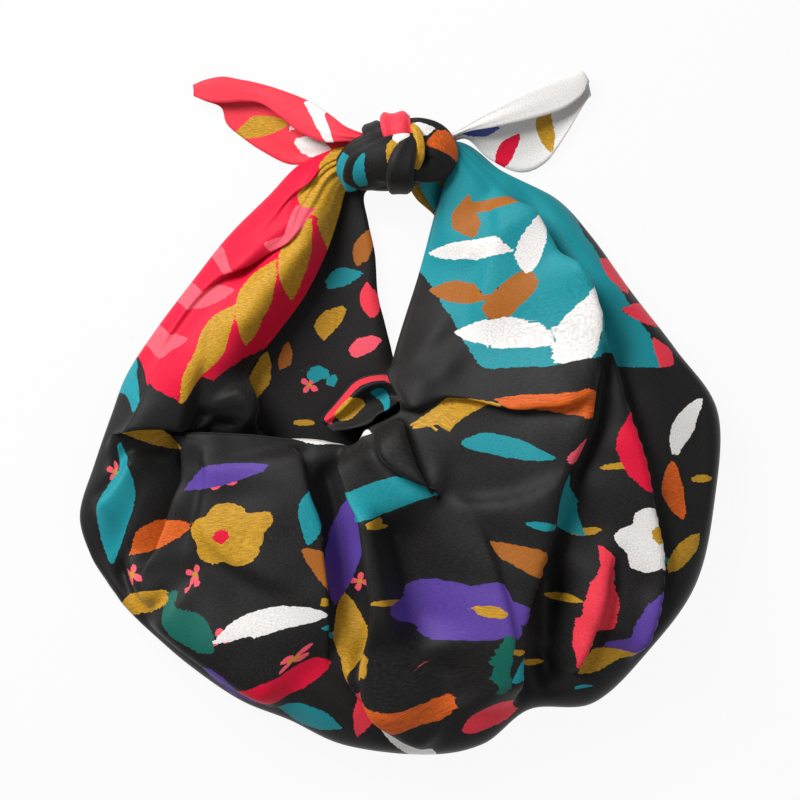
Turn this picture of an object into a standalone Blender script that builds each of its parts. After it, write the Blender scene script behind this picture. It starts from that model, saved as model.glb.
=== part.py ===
"""A furoshiki wrap: one square of printed cloth, tied into a shoulder bag and laid on its back.

The bag is one sheet. Its sections run from the rim of the mouth over the front to the outline,
and back underneath to the neckline. Both ends of the sheet meet in the knot, from which the two
free corners of the cloth stand out. Tables are in millimetres: X to the right, Y towards the
knot, Z up from the surface on which the bag lies.
"""

import math

import bpy
import numpy as np

MM = 0.001
CLOTH = 2.0  # thickness of the cloth with its hems
COLUMNS = 380  # sections along the bag, before the mesh is thinned
FRONT_ROWS = 54
BACK_ROWS = 12
BAG_FACES = 3100  # triangles kept in the one-layer sheet of the bag
TAIL_COLUMNS = 22
TAIL_ROWS = 13
SHOULDER = 0.86  # height where the side starts to turn down, as a share of the low point's
SIDE_ROUND = 0.75  # plan width of the turned-down side, as a share of its height
UNDER_ROUND = 1.3  # the same under the bag, as a share of the outline's height
CLOTH_COLOUR = (0.035, 0.034, 0.036, 1.0)

# Sections of the bag, from the knot down the left strap, round the pouch and up the right strap.
# Each has four places on the front (rim, hi, lo, edge) and the end of its back (neck).
SECTION_COLUMNS = (
    "rim_x rim_y rim_z hi_x hi_y hi_z lo_x lo_y lo_z edge_x edge_y edge_z neck_x neck_y"
).split()
SECTIONS = (
    # left strap
    (-20, 177, 20, -28, 186, 26, -35, 195, 24, -41, 201, 14, -14, 173),
    (-40, 170, 14, -50, 176, 26, -61, 183, 24, -74, 187, 10, -26, 164),
    (-47, 149, 12, -63, 153, 30, -80, 159, 28, -98, 163, 9, -23, 143),
    (-56, 122, 12, -79, 126, 34, -103, 131, 30, -128, 133, 9, -18, 119),
    (-73, 88, 12, -101, 92, 36, -128, 95, 32, -155, 99, 10, -16, 90),
    (-95, 58, 14, -124, 59, 38, -152, 60, 34, -182, 63, 12, -11, 69),
    (-115, 32, 18, -145, 29, 40, -175, 27, 36, -204, 29, 14, -7, 53),
    # lobe of the left strap, drawn in under the front panel
    (-114, 14, 32, -155, 3, 38, -188, -4, 38, -215, 0, 16, -6.2, 50),
    (-111, 0, 30, -156, -13, 31, -197, -27, 38, -228, -38, 18, -5.6, 47),
    (-109, -12, 24, -146, -36, 20, -196, -57, 33, -239, -76, 20, -5, 44.5),
    (-100, -22, 17, -131, -60, 14, -170, -98, 28, -231, -106, 22, -4.5, 42.5),
    # pleat at the left of the front panel
    (-112, -23, 28, -145, -62, 28, -179, -110, 38, -219, -126, 22, -4, 41),
    (-154, -21, 35, -158, -62, 37, -185, -116, 42, -212, -136, 22, -3.5, 40),
    (-168, -19, 41, -165, -62, 43, -187, -121, 45, -205, -145, 22, -3, 39.2),
    (-157, -18, 47, -153, -64, 49, -167, -133, 50, -187, -163, 22, -2.2, 38.6),
    # front panel
    (-134, -18, 49, -128, -77, 54, -134, -148, 54, -157, -189, 22, -1.4, 38.2),
    (-108, -19, 49, -103, -81, 57, -103, -159, 56, -119, -215, 22, -0.6, 38),
    (-80, -22, 45, -76, -83, 57, -74, -166, 56, -82, -230, 22, 0.2, 38),
    (-54, -26, 44, -44, -88, 56, -42, -173, 56, -40, -249, 22, 1, 38),
    (-35, -27, 44, -10, -92, 57, 1, -171, 57, 20, -256, 22, 1.8, 38.2),
    (-24, -15, 45, 16, -81, 59, 42, -171, 57, 63, -248, 22, 2.6, 38.6),
    (-10, -7, 45, 38, -66, 60, 76, -156, 58, 98, -222, 22, 3.4, 39.2),
    (2, 0, 44, 57, -51, 59, 117, -133, 56, 146, -217, 22, 4.1, 40),
    # right side, up to the strap
    (1, 11, 42, 68, -28, 58, 143, -103, 54, 188, -177, 22, 4.8, 41),
    (-7, 27, 32, 72, -6, 55, 158, -58, 52, 222, -129, 22, 5.4, 42.3),
    (-5, 38, 25, 76, 17, 50, 166, -17, 50, 236, -69, 21, 6, 44),
    (-2, 48, 20, 76, 43, 45, 162, 24, 47, 239, 0, 19, 7.5, 50),
    (6, 71, 16, 68, 75, 41, 140, 71, 43, 208, 47, 16, 14, 72),
    (16, 101, 14, 67, 108, 37, 121, 108, 39, 175, 90, 13, 24, 101),
    (24, 127, 13, 64, 137, 33, 104, 139, 33, 145, 132, 10, 29, 127),
    (29, 150, 13, 58, 161, 29, 86, 167, 27, 118, 161, 9, 28, 146),
    (34, 170, 14, 48, 180, 27, 64, 186, 23, 83, 176, 9, 13, 161),
    (35, 182, 18, 38, 193, 26, 44, 201, 24, 53, 200, 12, 7, 173),
    (20, 182, 20, 20, 193, 26, 22, 200, 24, 26, 204, 14, 10, 180),
)

# Folds of the front: each runs along its points. Its crest leans over the steep side, which lies
# to the right of its run where side is 1 and to the left where it is -1.
FOLD_COLUMNS = "height lean steep gentle side start end points".split()
FOLDS = (
    # edge of the left front panel, then the ridge that overlaps the valley from the other side
    (9, 7, 8, 40, -1, 8, 40, ((-73, -22), (-67, -58), (-58, -78), (-53, -118), (-42, -200))),
    (12, 10, 9, 42, 1, 14, 40, ((-48, -30), (-37, -64), (-31, -110), (-25, -170), (-24, -205),
                                (0, -240))),
    # soft valley at the centre
    (-13, 0, 26, 26, 1, 40, 40, ((8, -62), (-6, -98), (2, -163), (18, -205))),
    # tuck at the middle of the rim
    (13, 9, 8, 26, -1, 8, 14, ((0, -2), (13, -27), (27, -55), (16, -74))),
    # roll of the right strap over the front panel
    (9, 7, 8, 34, 1, 14, 20, ((4, 2), (27, 15), (48, 16), (71, 11), (94, 8), (113, 12), (128, 30))),
    # strong edge of the right front panel, from the strap to the outline
    (12, 12, 11, 42, -1, 60, 30, ((92, 162), (122, 103), (141, 52), (139, 9), (137, -25), (128, -48),
                                  (112, -98), (98, -143), (92, -180), (97, -215))),
    # second panel on the right
    (11, 8, 9, 36, -1, 60, 30, ((132, 96), (160, 44), (171, 9), (182, -38), (195, -86), (197, -106),
                                (193, -143), (184, -175))),
    # bulge between the two panels
    (8, 6, 8, 20, 1, 40, 20, ((168, -94), (151, -143), (147, -158), (126, -200))),
    # left strap
    (8, 6, 7, 24, 1, 20, 40, ((-46, 182), (-90, 140), (-116, 112), (-150, 78), (-170, 50))),
    (8, 6, 7, 22, 1, 20, 40, ((-44, 174), (-78, 130), (-100, 104), (-130, 82), (-160, 40))),
    (7, 5, 6, 20, 1, 20, 40, ((-40, 164), (-66, 110), (-96, 76), (-122, 52), (-150, 30))),
)

# Tails: the two free corners, each a leaf whose upper edge is turned over into a strip.
TAIL_TABLE_COLUMNS = "low_x low_y low_z top_x top_y top_z strip_x strip_y strip_z".split()
LEFT_TAIL = (
    (-35, 192, 16, -35, 205, 20, -32, 198, 27),
    (-61, 189, 9, -48, 219, 19, -56, 199, 24),
    (-82, 187, 5, -68, 231, 15, -74, 210, 20),
    (-103, 197, 4, -89, 240, 12, -89, 222, 17),
    (-119, 208, 3, -107, 246, 9, -103, 232, 14),
    (-130, 218, 3, -121, 249, 8, -116, 234, 12),
    (-134, 230, 3, -133, 251, 7, -131, 233, 11),
    (-146, 235, 4, -146, 249, 6, -143, 234, 10),
    (-155, 239, 4, -155, 246, 5, -154, 238, 8),
)
RIGHT_TAIL = (
    (31, 197, 16, 31, 205, 16, 28, 200, 24),
    (50, 206, 12, 47, 213, 18, 49, 210, 23),
    (68, 191, 7, 68, 225, 16, 70, 214, 21),
    (91, 181, 4, 92, 237, 13, 93, 219, 18),
    (110, 188, 4, 113, 246, 10, 112, 224, 15),
    (125, 208, 5, 128, 252, 8, 125, 229, 13),
    (140, 233, 5, 138, 255, 7, 136, 237, 11),
    (145, 239, 4, 143, 249, 6, 140, 243, 10),
)

# Knot: bands of gathered cloth round a core. Each place has its half width and half thickness.
# The core keeps its flat side up, and the other bands turn theirs away from the knot's centre.
KNOT_CENTRE = (1, 191, 20)
KNOT_BANDS = {
    "core": ((-42, 183, 19, 12, 11), (-24, 187, 26, 24, 20), (2, 190, 28, 27, 22),
             (22, 194, 25, 21, 18), (38, 197, 19, 11, 11)),
    "front": ((2, 213, 8, 8, 5), (0, 221, 28, 9, 5), (1, 214, 46, 9, 5), (3, 196, 54, 9, 6),
              (3, 178, 50, 9, 6), (2, 164, 32, 9, 5), (1, 169, 10, 8, 5)),
    "left": ((-2, 208, 38, 10, 7), (-20, 205, 39, 11, 8), (-34, 193, 36, 11, 9),
             (-35, 178, 31, 11, 8), (-20, 167, 30, 11, 8), (-2, 166, 33, 10, 7)),
    "right": ((5, 211, 38, 9, 6), (22, 212, 36, 9, 7), (35, 200, 31, 9, 7),
              (27, 184, 33, 9, 7), (8, 178, 37, 9, 6)),
}
BAND_SIDES = 10
BAND_STEPS = 3  # steps between two places of a band


def through(rows, at):
    """Values of the rows at fractional row numbers, on a smooth curve through every row."""
    rows = np.asarray(rows, float)
    slopes = np.gradient(rows, axis=0)
    first = np.clip(np.floor(at).astype(int), 0, len(rows) - 2)
    t = (np.asarray(at) - first)[:, None]
    a, b = rows[first], rows[first + 1]
    return (
        (2 * t**3 - 3 * t**2 + 1) * a
        + (t**3 - 2 * t**2 + t) * slopes[first]
        + (3 * t**2 - 2 * t**3) * b
        + (t**3 - t**2) * slopes[first + 1]
    )


def evenly(rows, count):
    """Fractional row numbers whose places lie about evenly apart."""
    dense = np.linspace(0, len(rows) - 1, 40 * len(rows))
    steps = np.linalg.norm(np.diff(through(rows, dense), axis=0), axis=1)
    along = np.concatenate([[0], np.cumsum(steps)])
    return np.interp(np.linspace(0, along[-1], count), along, dense)


def smooth(t):
    """0 below 0, 1 above 1 and a soft step between."""
    t = np.clip(t, 0, 1)
    return t * t * (3 - 2 * t)


def quarter_round(t):
    """Height of a quarter circle over its base, from 0 at t = 0 to 1 at t = 1."""
    return np.sqrt(1 - (1 - np.clip(t, 0, 1)) ** 2)


def beside_path(points, xy):
    """Signed distance (left is positive), place along, length and left normals of a path."""
    line = through(points, evenly(points, 10 * len(points)))
    a, step = line[:-1], np.diff(line, axis=0)
    length = np.linalg.norm(step, axis=1)
    run = step / length[:, None]
    gap = xy[:, None, :] - a[None]
    t = np.clip((gap * run).sum(2), 0, length)
    off = gap - t[..., None] * run
    away = np.linalg.norm(off, axis=2)
    near = away.argmin(1)
    pick = np.arange(len(xy))
    left = np.stack([-run[:, 1], run[:, 0]], 1)[near]
    side = np.sign((off[pick, near] * left).sum(1))
    start = np.concatenate([[0], np.cumsum(length)])
    return side * away[pick, near], start[near] + t[pick, near], start[-1], left


def folded(points, weight):
    """The points raised and leant along each fold of the table."""
    moved = points.copy()
    for row in FOLDS:
        fold = dict(zip(FOLD_COLUMNS, row))
        away, along, length, left = beside_path(np.array(fold["points"], float), points[:, :2])
        away, normal = away * fold["side"], left * fold["side"]
        past = away - fold["lean"]
        width = np.where(past < 0, fold["steep"], fold["gentle"])
        ends = smooth(along / fold["start"]) * smooth((length - along) / fold["end"])
        crest = np.exp(-((past / width) ** 2)) * ends * weight
        moved[:, :2] -= normal * (fold["lean"] * crest)[:, None]
        moved[:, 2] += fold["height"] * crest
    return moved


def bag_sheet():
    """Middle surface of the bag: sections of front and back side by side."""
    table = np.array(SECTIONS, float)
    at = evenly(table[:, [3, 4, 6, 7, 9, 10]], COLUMNS)
    column = dict(zip(SECTION_COLUMNS, through(table, at).T))
    places = [
        np.stack([column[f"{name}_{axis}"] for axis in "xyz"], 1)
        for name in ("rim", "hi", "lo", "edge")
    ]
    edge_z = places[3][:, 2].copy()
    places[3][:, 2] = SHOULDER * places[2][:, 2]
    v = 1 - (1 - np.linspace(0, 1, FRONT_ROWS)) ** 1.6
    weights = [
        (1 - v) * (1 - 3 * v) * (2 - 3 * v) / 2,
        9 * v * (1 - v) * (2 - 3 * v) / 2,
        9 * v * (1 - v) * (3 * v - 1) / 2,
        v * (1 - 3 * v) * (2 - 3 * v) / 2,
    ]
    front = sum(w[None, :, None] * p[:, None, :] for w, p in zip(weights, places))
    inward = np.linalg.norm(front[..., :2] - front[:, -1:, :2], axis=2)
    turn = quarter_round(inward / (SIDE_ROUND * places[2][:, 2:3]))
    front[..., 2] = edge_z[:, None] + (front[..., 2] - edge_z[:, None]) * turn
    weight = smooth(inward / 25).ravel()
    front = folded(front.reshape(-1, 3), weight).reshape(front.shape)

    w = (np.linspace(0, 1, BACK_ROWS + 1)[1:] ** 1.5)[None, :, None]
    neck = np.stack([column["neck_x"], column["neck_y"]], 1)[:, None]
    plan = front[:, -1:, :2] * (1 - w) + neck * w
    inward = np.linalg.norm(plan - front[:, -1:, :2], axis=2)
    height = edge_z[:, None] - CLOTH / 2
    drop = quarter_round(inward / (UNDER_ROUND * edge_z[:, None]))
    back = np.concatenate([plan, (CLOTH / 2 + height * (1 - drop))[..., None]], axis=2)
    return np.concatenate([front, back], axis=1)


def tail_sheet(rows):
    """Middle surface of a tail: leaf from its low edge to the top, then the strip turned over."""
    table = dict(zip(TAIL_TABLE_COLUMNS, through(rows, evenly(rows, TAIL_COLUMNS)).T))
    low, top, strip = (
        np.stack([table[f"{name}_{axis}"] for axis in "xyz"], 1) for name in ("low", "top", "strip")
    )
    drop = np.array([0, 0, 3.0])
    places = np.stack([low, (low + top) / 2 - drop, top - drop, top + drop, strip], 1)
    return np.stack([through(p, np.linspace(0, 4, TAIL_ROWS)) for p in places])


def sheet_object(name, grid, faces_kept=None):
    """An object whose mesh is the grid's surface, thinned if asked, and as thick as the cloth."""
    columns, rows = grid.shape[:2]
    index = np.arange(columns * rows).reshape(columns, rows)
    quads = np.stack([index[:-1, :-1], index[:-1, 1:], index[1:, 1:], index[1:, :-1]], 2)
    mesh = bpy.data.meshes.new(name)
    mesh.from_pydata((grid.reshape(-1, 3) * MM).tolist(), [], quads.reshape(-1, 4).tolist())
    thing = bpy.data.objects.new(name, mesh)
    bpy.context.collection.objects.link(thing)
    if faces_kept:
        thin = thing.modifiers.new("fewer faces", "DECIMATE")
        thin.ratio = faces_kept / (2 * len(mesh.polygons))
        thin.use_collapse_triangulate = True
    thick = thing.modifiers.new("cloth", "SOLIDIFY")
    thick.thickness = CLOTH * MM
    thick.offset = 0
    return thing


def band_object(name, rows):
    """A closed band of the knot, swept along its places with an oval section."""
    steps = np.linspace(0, len(rows) - 1, (len(rows) - 1) * BAND_STEPS + 1)
    place = through(rows, steps)
    centre, half_wide, half_thick = place[:, :3], place[:, 3:4], place[:, 4:5]
    run = np.gradient(centre, axis=0)
    run /= np.linalg.norm(run, axis=1)[:, None]
    if name == "knot_core":
        outward = np.array([[0, 0, 1.0]])
    else:
        outward = centre - np.array(KNOT_CENTRE, float)
    across = np.cross(outward, run)
    across /= np.linalg.norm(across, axis=1)[:, None]
    outward = np.cross(run, across)
    angle = np.linspace(0, 2 * math.pi, BAND_SIDES, endpoint=False)
    ring = (
        centre[:, None]
        + (across * half_wide)[:, None] * np.cos(angle)[None, :, None]
        + (outward * half_thick)[:, None] * np.sin(angle)[None, :, None]
    )
    count = len(steps)
    index = np.arange(count * BAND_SIDES).reshape(count, BAND_SIDES)
    after = np.roll(index, -1, axis=1)
    sides = np.stack([index[:-1], after[:-1], after[1:], index[1:]], 2).reshape(-1, 4).tolist()
    caps = [index[0][::-1].tolist(), index[-1].tolist()]
    mesh = bpy.data.meshes.new(name)
    mesh.from_pydata((ring.reshape(-1, 3) * MM).tolist(), [], sides + caps)
    thing = bpy.data.objects.new(name, mesh)
    bpy.context.collection.objects.link(thing)
    return thing


def join_into(thing, other):
    """Unites the other object with the thing and hides the other."""
    other.hide_render = True
    other.display_type = "WIRE"
    union = thing.modifiers.new(other.name, "BOOLEAN")
    union.operation = "UNION"
    union.solver = "EXACT"
    union.object = other


def cloth_material():
    """Smooth woven cloth with a soft sheen."""
    material = bpy.data.materials.new("printed_cloth")
    material.use_nodes = True
    shader = material.node_tree.nodes["Principled BSDF"]
    shader.inputs["Base Color"].default_value = CLOTH_COLOUR
    shader.inputs["Roughness"].default_value = 0.55
    shader.inputs["Metallic"].default_value = 0.0
    return material


for old in list(bpy.data.objects):
    bpy.data.objects.remove(old)

cloth = sheet_object("cloth", bag_sheet(), BAG_FACES)
cloth.data.materials.append(cloth_material())
for band, band_rows in KNOT_BANDS.items():
    join_into(cloth, band_object(f"knot_{band}", band_rows))
for tail, tail_rows in (("left", LEFT_TAIL), ("right", RIGHT_TAIL)):
    join_into(cloth, sheet_object(f"tail_{tail}", tail_sheet(tail_rows)))
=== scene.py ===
import math

import bpy
import numpy as np
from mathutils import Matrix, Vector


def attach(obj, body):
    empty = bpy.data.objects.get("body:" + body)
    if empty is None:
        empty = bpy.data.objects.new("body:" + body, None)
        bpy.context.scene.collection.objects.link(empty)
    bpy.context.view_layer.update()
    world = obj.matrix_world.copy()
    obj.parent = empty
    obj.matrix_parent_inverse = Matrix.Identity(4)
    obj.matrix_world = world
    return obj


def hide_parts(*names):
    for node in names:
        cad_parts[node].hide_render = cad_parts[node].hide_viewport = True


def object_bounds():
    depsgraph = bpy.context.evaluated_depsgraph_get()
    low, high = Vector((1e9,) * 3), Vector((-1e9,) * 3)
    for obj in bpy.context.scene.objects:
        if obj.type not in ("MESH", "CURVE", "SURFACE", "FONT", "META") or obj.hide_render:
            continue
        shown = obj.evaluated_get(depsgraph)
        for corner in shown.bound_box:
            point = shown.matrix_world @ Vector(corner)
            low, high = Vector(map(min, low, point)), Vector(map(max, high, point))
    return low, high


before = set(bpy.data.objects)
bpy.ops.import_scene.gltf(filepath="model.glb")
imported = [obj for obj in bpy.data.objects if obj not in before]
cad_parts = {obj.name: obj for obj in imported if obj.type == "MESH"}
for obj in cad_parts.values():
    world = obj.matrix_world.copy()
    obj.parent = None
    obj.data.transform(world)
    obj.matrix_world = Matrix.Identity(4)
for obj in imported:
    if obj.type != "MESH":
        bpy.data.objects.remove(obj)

cad_low, cad_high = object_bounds()

# --- Table, camera and light ----------------------------------------------------------------
# The bag lies on its back on a plain white table, seen from straight above, with one large soft
# light at the upper left, a weak one at the lower right and a pale room round it.

TABLE_HALF = 4.0
TABLE_GAP = 0.0002  # how far the table's top lies under the bag


def area_light(name, place, size, watts, aim=(0.0, 0.0, 0.0)):
    """A square soft light at a place, turned to face its aim."""
    data = bpy.data.lights.new(name, "AREA")
    data.size = size
    data.energy = watts
    light = bpy.data.objects.new(name, data)
    light.location = place
    away = np.subtract(aim, place)
    yaw = math.atan2(away[1], away[0]) - math.pi / 2
    pitch = math.atan2(math.hypot(away[0], away[1]), -away[2])
    light.rotation_euler = (pitch, 0.0, yaw)
    bpy.context.collection.objects.link(light)


camera = bpy.data.objects.new("camera", bpy.data.cameras.new("camera"))
camera.data.lens = 180.0
camera.location = (0.0008, 0.0095, 3.02)
camera.data.clip_end = 20.0
bpy.context.collection.objects.link(camera)
bpy.context.scene.camera = camera
bpy.context.scene.view_settings.view_transform = "Standard"

area_light("key_light", (-1.25, 1.3, 1.5), size=1.1, watts=74.0)
area_light("fill_light", (1.3, -0.9, 2.2), size=2.0, watts=12.0)
room = bpy.data.worlds.new("room")
room.use_nodes = True
room.node_tree.nodes["Background"].inputs["Color"].default_value = (1.0, 1.0, 1.0, 1.0)
room.node_tree.nodes["Background"].inputs["Strength"].default_value = 0.22
bpy.context.scene.world = room

table = bpy.data.meshes.new("table")
corners = [(x * TABLE_HALF, y * TABLE_HALF, 0) for x, y in ((-1, -1), (1, -1), (1, 1), (-1, 1))]
table.from_pydata(corners, [], [(0, 1, 2, 3)])
table_top = bpy.data.objects.new("table_top", table)
table_top.location.z = cad_low[2] - TABLE_GAP
white_table = bpy.data.materials.new("white_table")
white_table.use_nodes = True
table_shader = white_table.node_tree.nodes["Principled BSDF"]
table_shader.inputs["Base Color"].default_value = (0.04, 0.04, 0.04, 1)
table_shader.inputs["Roughness"].default_value = 0.8
table_shader.inputs["Specular IOR Level"].default_value = 0.1
table_shader.inputs["Emission Color"].default_value = (1.0, 1.0, 1.0, 1)
# a table lit from below, as for packshots
table_shader.inputs["Emission Strength"].default_value = 0.928
table.materials.append(white_table)
bpy.context.collection.objects.link(table_top)

# --- Bag: pouch and straps ------------------------------------------------------------------
# One sheet of closely woven polyester. Its sections run from the rim of the mouth over the front
# to the outline, and back underneath to the neckline, and its folds are listed one by one.

MM = 0.001
COLUMNS = 540
FRONT_ROWS = 55
BACK_ROWS = 14
LIP_ROWS = 4
LIP_ROUND = 1.9  # radius of the hem where the rim rolls under
LIP_TUCK = 8.0  # how far the rolled rim reaches back under the front
LIP_SWELLS = ((-56, -24, 3.6), (-113, 8, 3.6), (-150, -18, 1.6))  # x, y and added radius
LIP_SWELL_REACH = 20.0
CLOTH_HALF = 0.35  # half the thickness of the shown cloth
SHOULDER = 0.86  # height where the side starts to turn down, as a share of the low point's
SIDE_ROUND = 0.75  # plan width of the turned-down side, as a share of its height
UNDER_ROUND = 1.3  # the same under the bag, as a share of the outline's height
NECK_LIFT = 7.0  # how high the neckline of the back stands off the table
NECK_REACH = 26.0

KNOT_PLACE = (1, 191)
GATHERS = 5.5  # pleats across each strap at the knot
GATHER_HEIGHT = 2.6
GATHER_RIGHT = 0.9
GATHER_REACH = 70
GATHER_FADE = 15.0  # distance from the outline over which the gathers come in
UNEVEN_FADE = 30.0  # the same for the unevenness of the slack cloth
FOLD_FADE = 18.0  # and for the folds

SECTION_COLUMNS = (
    "rim_x rim_y rim_z hi_x hi_y hi_z lo_x lo_y lo_z edge_x edge_y edge_z neck_x neck_y"
).split()
SECTIONS = (
    # left strap
    (-20, 177, 20, -28, 186, 26, -35, 195, 24, -41, 201, 14, -14, 173),
    (-40, 170, 14, -50, 176, 26, -61, 183, 24, -74, 187, 10, -26, 164),
    (-47, 149, 12, -63, 153, 30, -80, 159, 28, -98, 163, 9, -23, 143),
    (-56, 122, 12, -79, 126, 34, -103, 131, 30, -128, 133, 9, -18, 119),
    (-73, 88, 12, -101, 92, 36, -128, 95, 32, -155, 99, 10, -16, 90),
    (-95, 58, 14, -124, 59, 38, -152, 60, 34, -182, 63, 12, -11, 69),
    (-115, 32, 18, -145, 29, 40, -175, 27, 36, -204, 29, 14, -7, 53),
    # lobe of the left strap, drawn in under the front panel
    (-114, 14, 32, -155, 3, 38, -188, -4, 38, -215, 0, 16, -6.2, 50),
    (-111, 0, 30, -156, -13, 31, -197, -27, 38, -228, -38, 18, -5.6, 47),
    (-109, -12, 24, -146, -36, 20, -196, -57, 33, -239, -76, 20, -5, 44.5),
    (-100, -22, 17, -131, -60, 14, -170, -98, 28, -231, -106, 22, -4.5, 42.5),
    # pleat at the left of the front panel
    (-112, -23, 28, -145, -62, 28, -179, -110, 38, -219, -126, 22, -4, 41),
    (-154, -21, 35, -158, -62, 37, -185, -116, 42, -212, -136, 22, -3.5, 40),
    (-168, -19, 41, -165, -62, 43, -187, -121, 45, -205, -145, 22, -3, 39.2),
    (-157, -18, 47, -153, -64, 49, -167, -133, 50, -187, -163, 22, -2.2, 38.6),
    # front panel
    (-134, -18, 49, -128, -77, 54, -134, -148, 54, -157, -189, 22, -1.4, 38.2),
    (-108, -19, 49, -103, -81, 57, -103, -159, 56, -119, -215, 22, -0.6, 38),
    (-80, -22, 45, -76, -83, 57, -74, -166, 56, -82, -230, 22, 0.2, 38),
    (-54, -26, 44, -44, -88, 56, -42, -173, 56, -40, -249, 22, 1, 38),
    (-35, -27, 44, -10, -92, 57, 1, -171, 57, 20, -256, 22, 1.8, 38.2),
    (-24, -15, 45, 16, -81, 59, 42, -171, 57, 63, -248, 22, 2.6, 38.6),
    (-10, -7, 45, 38, -66, 60, 76, -156, 58, 98, -222, 22, 3.4, 39.2),
    (2, 0, 44, 57, -51, 59, 117, -133, 56, 146, -217, 22, 4.1, 40),
    # right side, up to the strap
    (1, 11, 42, 68, -28, 58, 143, -103, 54, 188, -177, 22, 4.8, 41),
    (-7, 27, 32, 72, -6, 55, 158, -58, 52, 222, -129, 22, 5.4, 42.3),
    (-5, 38, 25, 76, 17, 50, 166, -17, 50, 236, -69, 21, 6, 44),
    (-2, 48, 20, 76, 43, 45, 162, 24, 47, 239, 0, 19, 7.5, 50),
    (6, 71, 16, 68, 75, 41, 140, 71, 43, 208, 47, 16, 14, 72),
    (16, 101, 14, 67, 108, 37, 121, 108, 39, 175, 90, 13, 24, 101),
    (24, 127, 13, 64, 137, 33, 104, 139, 33, 145, 132, 10, 29, 127),
    (29, 150, 13, 58, 161, 29, 86, 167, 27, 118, 161, 9, 28, 146),
    (34, 170, 14, 48, 180, 27, 64, 186, 23, 83, 176, 9, 13, 161),
    (35, 182, 18, 38, 193, 26, 44, 201, 24, 53, 200, 12, 7, 173),
    (20, 182, 20, 20, 193, 26, 22, 200, 24, 26, 204, 14, 10, 180),
)

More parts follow.
